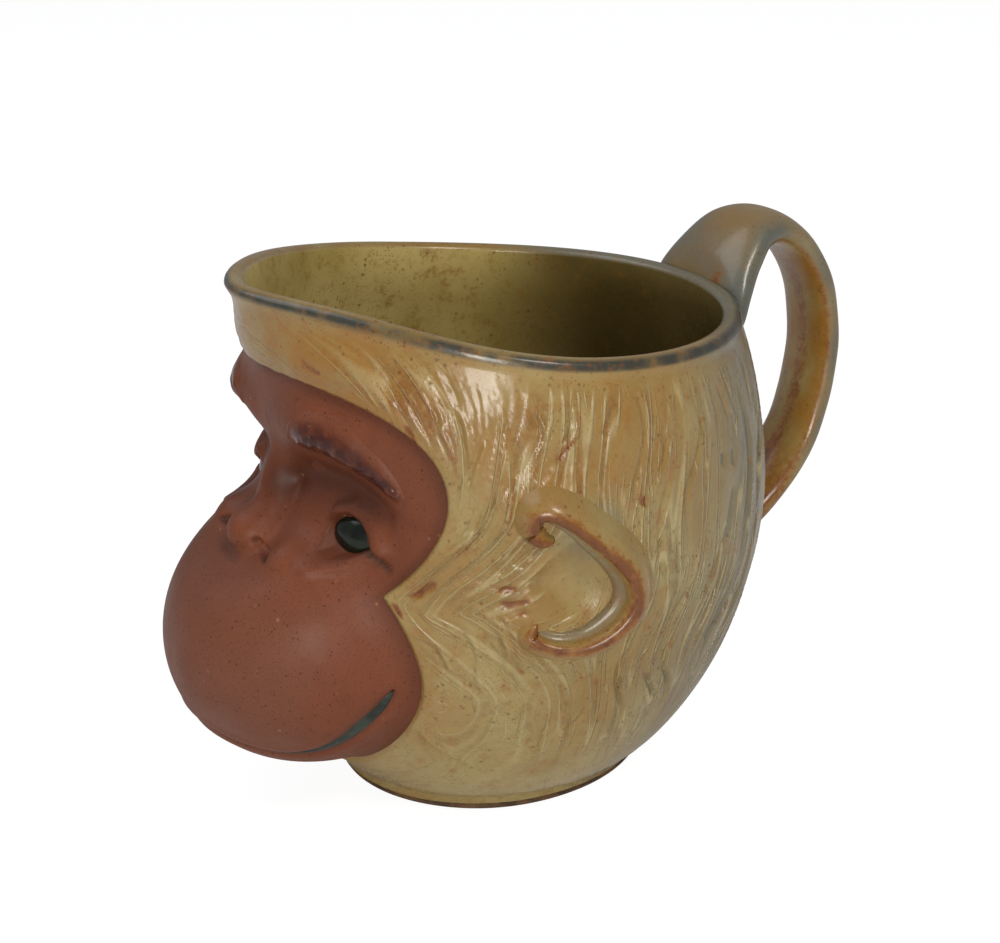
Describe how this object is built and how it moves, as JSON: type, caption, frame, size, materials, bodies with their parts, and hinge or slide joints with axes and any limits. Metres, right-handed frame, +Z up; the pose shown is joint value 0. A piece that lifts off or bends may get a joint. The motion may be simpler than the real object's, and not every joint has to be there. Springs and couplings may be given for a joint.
{
  "type": "stoneware pitcher",
  "caption": "Hand-luted stoneware pitcher shaped as a monkey's head, with a pouring spout above a bare clay face, combed hair glaze, rolled ears and a strap handle.",
  "frame": {"origin": "centre of the foot's flat underside, on the surface that the pitcher stands on", "axes": "+Z up, -Y toward the face and the spout, +Y toward the handle, +X toward the monkey's left ear"},
  "size_m": [0.1378, 0.1766, 0.1208],
  "materials": {
    "hair_glaze": "straw-coloured salt-speckled glaze over combed stoneware, satin gloss",
    "bare_clay": "bare red-brown stoneware with a soft burnished sheen",
    "brow_slip": "thin glossy wash over red clay",
    "eye_glaze": "glossy green-black glaze",
    "mouth_glaze": "thin grey-green glaze pooled in the mouth groove",
    "handle_glaze": "straw glaze breaking tan-brown and slate at the edges",
    "foot_clay": "dark brown unglazed foot"
  },
  "bodies": {
    "root": {"body_shell": "hair_glaze", "foot_disc": "foot_clay", "face_panel": "bare_clay", "nose": "bare_clay", "mouth_inlay": "mouth_glaze", "handle": "handle_glaze", "brow_left": "brow_slip", "eye_left": "eye_glaze", "ear_left": "hair_glaze", "brow_right": "brow_slip", "eye_right": "eye_glaze", "ear_right": "hair_glaze"}
  },
  "joints": []
}
